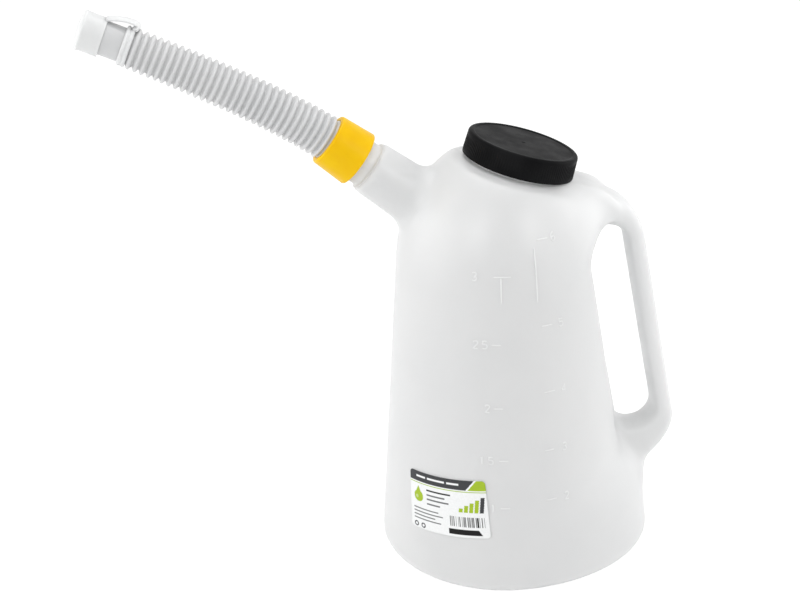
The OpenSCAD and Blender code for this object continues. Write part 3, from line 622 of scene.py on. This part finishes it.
def fillerCap():
    # outline from the middle of the top over the rim, down the skirt and up the bore to the ceiling's middle;
    # the skirt's ribs are a cosine of the angle, fading at both ends
    bore = jug["neckR"] + jug["threadH"] + cap["gap"]
    outerR, topR = bore + cap["skirt"], bore + cap["skirt"] - cap["taper"]
    ceiling = jug["neckRim"] + cap["liner"]
    top, well = cap["height"], cap["height"] - cap["sink"]
    a = np.linspace(0, np.pi / 2, 7)
    over = np.stack([topR - cap["round"] * (1 - np.sin(a)), top - cap["round"] * (1 - np.cos(a))], -1)
    rimIn = topR - cap["round"] - cap["rim"]
    skirtZ = np.concatenate([np.linspace(top - cap["round"] - 0.4, cap["ribHigh"], 3),
                             np.linspace(cap["ribHigh"] - 0.3, cap["ribLow"] + 0.3, 6),
                             np.linspace(cap["ribLow"], 0.5, 3)])
    skirt = np.stack([outerR - cap["taper"] * skirtZ / (top - cap["round"]), skirtZ], -1)
    outline = np.concatenate([
        [(0, well + 0.25), (cap["gate"] * 0.6, well + 0.22), (cap["gate"], well + 0.02), (cap["gate"] + 0.4, well)],
        np.stack([np.linspace(3, rimIn - 1.2, 8), np.full(8, well)], -1),
        [(rimIn - 0.45, well), (rimIn - 0.1, well + 0.12), (rimIn + 0.2, top - 0.06), (rimIn + 0.5, top)],
        over, skirt,
        [(outerR - 0.12, 0.14), (outerR - 0.45, 0.0), (bore + 0.35, 0.0), (bore, 0.3)],
        np.stack([np.full(4, bore), np.linspace(2, ceiling - 0.5, 4)], -1),
        [(bore - 0.12, ceiling - 0.12), (bore - 0.5, ceiling), (bore * 0.5, ceiling), (0, ceiling)]])

    def ribs(r, h, angle):
        on = ease((h - cap["ribLow"]) / 0.6) * ease((cap["ribHigh"] - h) / 0.6) * (r > bore + 0.6)
        wave = 0.5 - 0.5 * np.cos(cap["ribs"] * angle)
        return -cap["ribDepth"] * on[:, None] * wave[None]

    shell = spun(outline[::-1], neckAt, neckAxis, neckSide, cap["ribs"] * 6, closed=False, ripple=ribs)
    start = jug["neckThreadZ"] - 1.25 - 0.15
    thread = threadRidge(neckAt, neckAxis, neckSide, jug["neckR"] + cap["gap"], bore + 0.5, 1.7, 0.8,
                         start, jug["pitch"], 1.0, outward=False)
    return joined(shell, thread)


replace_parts(makePiece("fillerCap", *fillerCap(), capPlastic, "cap", "black_plastic"), "filler_cap")
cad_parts["cap_liner"].material_slots[0].material = linerFoam

# ---- the nut

nut = dict(r=16.5, endR=15.2, gap=6.2, web=3.4, bevel=1.3, bore=14.35, cuff=12.28, flange=2.0)


def spoutNut():
    # ring outline with softened edges, narrower towards the flexible spout, and its thread inside
    seat = jug["spoutNeckLen"] + nut["flange"]
    top = seat + nut["web"]
    outline = rounded([(nut["bore"], nut["gap"]), (nut["r"], nut["gap"]), (nut["endR"], top), (nut["cuff"], top),
                       (nut["cuff"], seat), (nut["bore"], seat)],
                      [0.4, nut["bevel"], nut["bevel"], 0.5, 0.15, 0.3], 5)
    ring = spun(outline, spoutAt, spoutAxis, spoutSide, 128)
    start = jug["spoutNeckLen"] - 1.2 - jug["pitch"] * 2.5 - 1.25 - 0.15
    thread = threadRidge(spoutAt, spoutAxis, spoutSide, jug["spoutNeckR"] + 0.25, nut["bore"] + 0.5, 1.7, 0.8,
                         start, jug["pitch"], 2.0, outward=False)
    return joined(ring, thread)


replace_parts(makePiece("spoutNut", *spoutNut(), nutPlastic, "nut", "yellow_plastic"), "spout_nut")

# ---- the flexible spout

hose = dict(r=13.1, tipR=11.5, groove=2.2, wall=0.9, crests=30, pitch=3.93, tipRise=25, sag=2, fade=50,
            cuffR=12.2, cuffOut=0.6, nozzleR=9.5, nozzleLen=26, nozzleWall=1.3, perCrest=10, columns=72)

hoseLength = hose["crests"] * hose["pitch"]
hoseStart = spoutAt + (jug["spoutNeckLen"] + nut["flange"] + nut["web"] + hose["cuffOut"]) * spoutAxis


def riseAt(s):
    # slope of the middle line in degrees: the nozzle's, plus a share that fades with the length
    return hose["tipRise"] + (jug["rise"] - hose["sag"] - hose["tipRise"]) * np.exp(-s / hose["fade"])


def runAlong(rise):
    a = np.radians(rise)
    return np.stack([-np.cos(a), np.zeros_like(a), np.sin(a)], -1)


def hoseLine():
    # stations along the middle line by adding up its direction, one third of a corrugation at a time
    marks = np.concatenate([[0, 0.3, 0.7] + k for k in np.arange(hose["crests"])[:, None]] + [[hose["crests"]]])
    s = marks.ravel() * hose["pitch"]
    steps = np.diff(s)[:, None] * runAlong(riseAt((s[1:] + s[:-1]) / 2))
    return s, hoseStart + np.concatenate([[np.zeros(3)], np.cumsum(steps, 0)])


lineS, linePoints = hoseLine()
hoseEnd = linePoints[-1]
tc, ts = turned(hose["tipRise"])
tipAxis, tipSide = np.array([-tc, 0, ts]), np.array([ts, 0, tc])


def flexibleSpout():
    # rings carried along the middle line: flange and cuff, then corrugations with broad round crests
    # and narrow valleys, crest - groove (half + half cosine) to the power 1.6, then the nozzle; then back inside
    flangeR, seat = jug["spoutNeckR"], jug["spoutNeckLen"]
    back = seat + nut["flange"] + nut["web"] + hose["cuffOut"]
    s = np.linspace(0, hoseLength, hose["crests"] * hose["perCrest"] + 1)
    centre = np.stack([np.interp(s, lineS, linePoints[:, i]) for i in range(3)], -1)
    crest = hose["r"] + (hose["tipR"] - hose["r"]) * s / hoseLength
    valley = (0.5 + 0.5 * np.cos(2 * np.pi * s / hose["pitch"])) ** 1.6
    skinR = crest - hose["groove"] * valley
    cuff = np.array([(flangeR - 0.3, seat), (flangeR, seat + 0.3), (flangeR, seat + nut["flange"] - 0.3),
                     (flangeR - 0.3, seat + nut["flange"]), (hose["cuffR"] + 0.1, seat + nut["flange"]),
                     (hose["cuffR"], seat + nut["flange"] + 0.2), (hose["cuffR"], back - 0.8),
                     (hose["cuffR"] - 0.35, back - 0.35)])
    end = hose["nozzleLen"]
    tip = np.array([(hose["nozzleR"] - 0.15, 0.5), (hose["nozzleR"], 1.0), (hose["nozzleR"], 8.0),
                    (hose["nozzleR"], 16.0), (hose["nozzleR"], end - 0.8), (hose["nozzleR"] - 0.2, end - 0.2),
                    (hose["nozzleR"] - 0.6, end)])
    tipIn = np.array([(hose["nozzleR"] - hose["nozzleWall"] + 0.2, end),
                      (hose["nozzleR"] - hose["nozzleWall"], end - 0.3), (hose["nozzleR"] - hose["nozzleWall"], 12.0),
                      (hose["nozzleR"] - hose["nozzleWall"], 0.8)])
    cuffIn = np.array([(hose["cuffR"] - 1.8, back - 0.6), (hose["cuffR"] - 1.8, seat + 3.0),
                       (hose["cuffR"] - 1.8, seat + 0.3), (hose["cuffR"] - 1.5, seat)])
    at = np.concatenate([spoutAt + cuff[:, 1:] * spoutAxis, centre, hoseEnd + tip[:, 1:] * tipAxis,
                         hoseEnd + tipIn[:, 1:] * tipAxis, centre[::-1], spoutAt + cuffIn[:, 1:] * spoutAxis])
    r = np.concatenate([cuff[:, 0], skinR, tip[:, 0], tipIn[:, 0], (skinR - hose["wall"])[::-1], cuffIn[:, 0]])
    rise = np.concatenate([np.full(len(cuff), jug["rise"]), riseAt(s), np.full(len(tip) + len(tipIn), hose["tipRise"]),
                           riseAt(s)[::-1], np.full(len(cuffIn), jug["rise"])])
    a = np.radians(rise)[:, None]
    t = np.arange(hose["columns"]) * 2 * np.pi / hose["columns"]
    across = np.stack([np.sin(a) * np.cos(t), np.broadcast_to(np.sin(t), (len(r), len(t))), np.cos(a) * np.cos(t)], -1)
    points = at[:, None] + r[:, None, None] * across
    return points.reshape(-1, 3), gridFaces(len(r), len(t), closedRows=True)[:, ::-1]


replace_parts(makePiece("flexSpout", *flexibleSpout(), hosePlastic, "hose", "soft_clear_plastic"), "flexible_spout")

# ---- the tip cap, its ring and its strap

tip = dict(capR=11, capLen=12, capEnd=1.5, dome=2.39, lip=0.4, gap=0.08, ringW=4.6, ringR=11.3, ringLow=0.28,
           strapW=8.6, strapT=2.1, strapRise=4.6, strapBulge=8, strapReach=8)
capTop = hose["nozzleLen"] + tip["capEnd"]
capLow = capTop - tip["capLen"]


def tipCap():
    # outline from the dome's middle over the lip, down the side and back up the bore under the dome
    bore = hose["nozzleR"] + tip["gap"]
    a = np.linspace(np.pi / 2, 0, 10)
    lip = tip["capR"] + tip["lip"]
    domeOut = np.stack([tip["capR"] * np.cos(a), capTop + tip["dome"] * np.sin(a)], -1)
    domeIn = np.stack([bore * np.cos(a), hose["nozzleLen"] + tip["dome"] * np.sin(a)], -1)
    side = np.array([(lip - 0.1, capTop - 0.25), (lip, capTop - 0.55), (lip - 0.05, capTop - 0.85),
                     (tip["capR"] + 0.08, capTop - 1.15), (tip["capR"], capTop - 1.5), (tip["capR"] - 0.03, capLow + 4),
                     (tip["capR"], capLow + 0.5), (tip["capR"] - 0.15, capLow + 0.15), (tip["capR"] - 0.45, capLow),
                     (bore + 0.25, capLow), (bore, capLow + 0.25), (bore, capLow + 5)])
    outline = np.concatenate([domeOut, side, domeIn[::-1]])
    return spun(outline[::-1], hoseEnd, tipAxis, tipSide, 96, closed=False)


def strapRing():
    # a ring with two beads across its width: radius = bead + rise |sine|
    bore = hose["nozzleR"] + tip["gap"]
    u = np.linspace(0, 1, 25)
    beads = np.stack([tip["ringR"] - 0.55 + 0.55 * np.abs(np.sin(2 * np.pi * u)) ** 0.8
                      * np.minimum(1, 1), tip["ringLow"] + tip["ringW"] * u], -1)
    beads[0, 0] = beads[-1, 0] = tip["ringR"] - 0.9
    outline = np.concatenate([[(bore, tip["ringLow"])], beads, [(bore, tip["ringLow"] + tip["ringW"])]])
    return spun(outline, hoseEnd, tipAxis, tipSide, 96)


def strapArch():
    # a cubic curve from inside the ring over to the tip cap's wall, with a flat ridged section across it
    foot = hose["nozzleR"] + tip["strapT"] / 2
    start = tip["ringLow"] + 0.3 * tip["ringW"]
    stop = capLow + 0.9
    pulls = np.array([[foot, start], [foot + tip["strapRise"], start - tip["strapBulge"]],
                      [foot + tip["strapRise"], stop - tip["strapReach"]], [foot + 0.1, stop]])
    t = np.linspace(0, 1, 49)[:, None]
    mid = (1 - t) ** 3 * pulls[0] + 3 * t * (1 - t) ** 2 * pulls[1] + 3 * t * t * (1 - t) * pulls[2] + t ** 3 * pulls[3]
    run = np.gradient(mid, axis=0)
    run /= np.linalg.norm(run, axis=1)[:, None]
    up = np.stack([run[:, 1], -run[:, 0]], -1)
    half, thick = tip["strapW"] / 2, tip["strapT"] / 2
    v = np.linspace(-1, 1, 41)
    crown = thick * (1 - np.abs(v) ** 8 * 0.8) - 0.22 * (0.5 - 0.5 * np.cos(3 * np.pi * (v + 1))) * (np.abs(v) < 0.99)
    under = -thick * (1 - np.abs(v) ** 8 * 0.8)
    section = np.concatenate([np.stack([v * half, crown], -1), np.stack([v[::-1] * half, under[::-1]], -1)])
    upright = mid[:, None] + section[None, :, 1:] * up[:, None]
    y = np.broadcast_to(section[:, 0], upright.shape[:2])
    points = (hoseEnd + upright[..., :1] * tipSide + upright[..., 1:] * tipAxis + y[..., None] * np.array([0, 1, 0]))
    rows, cols = y.shape
    faces = gridFaces(rows, cols)
    c = np.arange(1, cols - 1)
    first = np.stack([np.zeros_like(c), c, c + 1], -1)
    last = (rows - 1) * cols + np.stack([np.zeros_like(c), c + 1, c], -1)
    return points.reshape(-1, 3), [faces[:, ::-1], first[:, ::-1], last[:, ::-1]]


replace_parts(makePiece("tipCap", *tipCap(), tipPlastic, "tip_cap", "milky_soft_plastic"), "tip_cap")
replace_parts(makePiece("strapRing", *strapRing(), tipPlastic, "hose", "milky_soft_plastic"), "tip_strap")
strap = makePiece("strapArch", *strapArch(), tipPlastic, None, "milky_soft_plastic")
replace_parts(strap, "tip_strap")
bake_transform(strap)

# ---- the label

label = dict(width=53, height=37, turn=-126.5, z=52.6, slant=5.5, thick=0.2, gap=0.12, cell=0.25, corner=2.4)
inks = dict(paper=(0.90, 0.91, 0.91), dark=(0.050, 0.052, 0.055), green=(0.38, 0.53, 0.030), grey=(0.15, 0.155, 0.16),
            black=(0.004, 0.004, 0.004), pale=(0.55, 0.68, 0.25))


def printed(u, v):
    # the label's colours at distances from its middle: a dark head with a slanted end over a green line,
    # a drop, a rising row of blocks, rows of short bars, and a field of upright stripes over a dark foot
    colour = np.broadcast_to(np.array(inks["paper"]), (*u.shape, 3)).copy()

    def lay(where, ink):
        colour[where] = inks[ink]

    def bar(u0, u1, v0, v1, lean=0.0):
        return (u > u0 + lean * (v - v0)) & (u < u1 + lean * (v - v0)) & (v > v0) & (v < v1)

    lay((v > 12.2) & (u < 14 + (v - 12.2) * 0.9), "dark")
    lay((v > 12.2) & (u > 15.4 + (v - 12.2) * 0.9), "green")
    lay((v > 10.9) & (v < 11.5), "green")
    for at, wide in ((-21, 7.5), (-12.2, 12.5), (1.8, 8.0)):
        lay(bar(at, at + wide, 14.8, 16.2), "paper")
    drop = np.hypot(u + 19.6, v - 2.6) < 3.6
    drop |= (np.abs(u + 19.6) < (9.4 - v) * 0.5) & (v > 4.2)
    lay(drop, "green")
    lay((np.hypot(u + 20.9, v - 2.2) < 1.1), "pale")
    for k, wide in enumerate((17.0, 13.0, 15.5, 9.5)):
        lay(bar(-13.2, -13.2 + wide, 7.3 - 2.9 * k, 8.4 - 2.9 * k), "black" if k == 0 else "grey")
    for k in range(5):
        lay(bar(8.6 + 3.2 * k, 11.0 + 3.2 * k, -2.2, 0.4 + 1.9 * k, 0.15), "green" if k < 4 else "dark")
    for k, wide in enumerate((19.0, 22.0, 16.5, 20.5)):
        lay(bar(-24.0, -24.0 + wide, -5.6 - 2.3 * k, -4.8 - 2.3 * k), "grey")
    for k in range(2):
        lay(np.hypot(u + 22.2 - 5.4 * k, v + 16.0) < 1.7, "dark")
        lay(np.hypot(u + 22.2 - 5.4 * k, v + 16.0) < 0.9, "paper")
    stripe = np.sin(u * 5.1) + np.sin(u * 8.7 + 1.0) + 0.6 * np.sin(u * 2.3) > 0.25
    lay(stripe & (u > 2.6) & (u < 24.2) & (v > -11.6) & (v < -5.2), "black")
    lay(bar(1.4, 22.0, -16.9, -13.3, -0.6) & (u > 1.4), "black")
    return colour


def labelSheet():
    # a sheet on the tank's cone: angle = turn + across / radius, its corners rounded by drawing each corner
    # square in to a quarter circle, its edge turned down to the back
    w, h, c = label["width"] / 2, label["height"] / 2, label["corner"]
    u, v = np.meshgrid(np.linspace(-w, w, int(2 * w / label["cell"]) + 1),
                       np.linspace(-h, h, int(2 * h / label["cell"]) + 1))
    du, dv = np.maximum(np.abs(u) - (w - c), 0), np.maximum(np.abs(v) - (h - c), 0)
    draw = np.maximum(du, dv) / np.maximum(np.hypot(du, dv), 1e-9)
    draw = np.where((du > 0) & (dv > 0), draw, 1)
    u = np.sign(u) * (np.minimum(np.abs(u), w - c) + du * draw)
    v = np.sign(v) * (np.minimum(np.abs(v), h - c) + dv * draw)
    ca, sa = turned(label["slant"])
    across, z = u * ca - v * sa, label["z"] + u * sa + v * ca
    angle = math.radians(label["turn"]) + across / tankAt(label["z"])
    sheets = []
    for lift in (label["gap"] + label["thick"], label["gap"]):
        r = tankAt(z) + lift
        sheets.append(np.stack([r * np.cos(angle), r * np.sin(angle), z], -1).reshape(-1, 3))
    rows, cols = u.shape
    n = rows * cols
    front = gridFaces(rows, cols, closedCols=False)
    grid = np.arange(n).reshape(rows, cols)
    rim = np.concatenate([grid[0, :-1], grid[:-1, -1], grid[-1, :0:-1], grid[:0:-1, 0]])
    step = np.roll(rim, -1)
    edge = np.stack([rim, n + rim, n + step, step], -1)
    return np.concatenate(sheets), [np.concatenate([front, front[:, ::-1] + n, edge])], printed(u, v).reshape(-1, 3)


def labelPrint():
    # printed paper: the sheet's own colours, a faint fibre in them and a coat of gloss
    material = bpy.data.materials.new("printedLabel")
    tree, shader = nodesOf(material)
    ink = tree.nodes.new("ShaderNodeAttribute")
    ink.attribute_name = "printInk"
    coords = tree.nodes.new("ShaderNodeTexCoord").outputs["Object"]
    grain = noiseAt(tree, coords, 900, 3)
    dim = tree.nodes.new("ShaderNodeMix")
    dim.data_type = "RGBA"
    dim.blend_type = "MULTIPLY"
    dim.inputs[0].default_value = 1
    tree.links.new(ink.outputs["Color"], dim.inputs[6])
    tree.links.new(blendColour(tree, ranged(tree, grain, 0, 1), (1, 1, 1), (0.95, 0.95, 0.95)), dim.inputs[7])
    tree.links.new(dim.outputs[2], shader.inputs["Base Color"])
    tree.links.new(ranged(tree, noiseAt(tree, coords, 150, 2), 0.32, 0.44), shader.inputs["Roughness"])
    tree.links.new(bumped(tree, grain, 0.00002), shader.inputs["Normal"])
    shader.inputs["Specular IOR Level"].default_value = 0.2
    return material


points, faces, colours = labelSheet()
sheet = makePiece("labelSheet", points, faces, labelPrint(), "jug", "paper_label")
ink = sheet.data.attributes.new("printInk", "FLOAT_COLOR", "POINT")
both = np.concatenate([colours, np.broadcast_to(np.array(inks["paper"]), colours.shape)])
ink.data.foreach_set("color", np.concatenate([both, np.ones((len(both), 1))], 1).astype(np.float32).ravel())
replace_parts(sheet, "label")

# ---- floor, light and camera

stage = dict(size=6.0, floor=(0.86, 0.86, 0.86), show=0.62, white=1.36)


def showWhite(tree, surface, share, strength):
    # what the camera and reflections see is mixed with plain white, so that only a share of the shadow is left
    path = tree.nodes.new("ShaderNodeLightPath")
    seen = mathNode(tree, "MAXIMUM", path.outputs["Is Camera Ray"], path.outputs["Is Glossy Ray"])
    seen = mathNode(tree, "MAXIMUM", seen, path.outputs["Is Transmission Ray"])
    white = tree.nodes.new("ShaderNodeEmission")
    white.inputs["Color"].default_value = (1, 1, 1, 1)
    white.inputs["Strength"].default_value = strength
    mix = tree.nodes.new("ShaderNodeMixShader")
    tree.links.new(mathNode(tree, "MULTIPLY", seen, share), mix.inputs[0])
    tree.links.new(surface, mix.inputs[1])
    tree.links.new(white.outputs[0], mix.inputs[2])
    return mix.outputs[0]


floorMaterial = bpy.data.materials.new("paleFloor")
tree, shader = nodesOf(floorMaterial)
shader.inputs["Base Color"].default_value = (*stage["floor"], 1)
shader.inputs["Roughness"].default_value = 0.9
output = tree.nodes["Material Output"]
tree.links.new(showWhite(tree, shader.outputs[0], stage["show"], stage["white"]), output.inputs["Surface"])
half = stage["size"] / 2
floorMesh = bpy.data.meshes.new("floor")
floorMesh.from_pydata([(-half, -half, 0), (half, -half, 0), (half, half, 0), (-half, half, 0)], [], [(0, 1, 2, 3)])
floorMesh.materials.append(floorMaterial)
floor = bpy.data.objects.new("floor", floorMesh)
bpy.context.scene.collection.objects.link(floor)

world = bpy.data.worlds.new("paleRoom")
bpy.context.scene.world = world
world.use_nodes = True
tree = world.node_tree
room = tree.nodes["Background"]
room.inputs["Color"].default_value = (1, 1, 1, 1)
room.inputs["Strength"].default_value = 0.58
tree.links.new(showWhite(tree, room.outputs[0], 1.0, 1.0), tree.nodes["World Output"].inputs["Surface"])


def softbox(name, at, towards, width, height, power):
    lamp = bpy.data.lights.new(name, "AREA")
    lamp.shape = "RECTANGLE"
    lamp.size, lamp.size_y = width, height
    lamp.energy = power
    obj = bpy.data.objects.new(name, lamp)
    bpy.context.scene.collection.objects.link(obj)
    back = np.array(at, float) - np.array(towards, float)
    back /= np.linalg.norm(back)
    right = np.cross((0, 0, 1.0), back)
    right /= np.linalg.norm(right)
    up = np.cross(back, right)
    matrix = np.eye(4)
    matrix[:3, 0], matrix[:3, 1], matrix[:3, 2], matrix[:3, 3] = right, up, back, at
    obj.matrix_world = Matrix(matrix.tolist())
    return obj


softbox("leftWall", (-1.3, 0.05, 0.45), (0, 0, 0.15), 1.2, 1.0, 6.4)
softbox("rightWall", (1.3, 0.05, 0.45), (0, 0, 0.15), 1.2, 1.0, 6.4)
softbox("leftWindow", (-0.75, -1.0, 0.85), (0, 0, 0.15), 0.35, 0.5, 3.0)
softbox("rightWindow", (0.80, -1.0, 0.80), (0, 0, 0.15), 0.35, 0.5, 3.0)
softbox("topBox", (0.0, 0.2, 1.3), (0, 0, 0.15), 0.8, 0.8, 4.0)

view = dict(azimuth=-4.45, elevation=23.97, roll=2.51, distance=840.05, shiftX=60.01, shiftY=-35.94, lens=62.04)
ca, sa = turned(view["azimuth"])
ce, se = turned(view["elevation"])
back = np.array([sa * ce, -ca * ce, se])
right = np.array([ca, sa, 0])
up = np.cross(back, right)
at = np.array([0, 0, 120]) - view["shiftX"] * right - view["shiftY"] * up + view["distance"] * back
co, so = turned(view["roll"])
matrix = np.eye(4)
matrix[:3, 0], matrix[:3, 1], matrix[:3, 2], matrix[:3, 3] = co * right - so * up, so * right + co * up, back, at * mm
lens = bpy.data.cameras.new("camera")
lens.sensor_width = 36
lens.lens = view["lens"]
lens.clip_start, lens.clip_end = 0.05, 30
camera = bpy.data.objects.new("camera", lens)
bpy.context.scene.collection.objects.link(camera)
camera.matrix_world = Matrix(matrix.tolist())
bpy.context.scene.camera = camera
bpy.context.scene.view_settings.view_transform = "Standard"
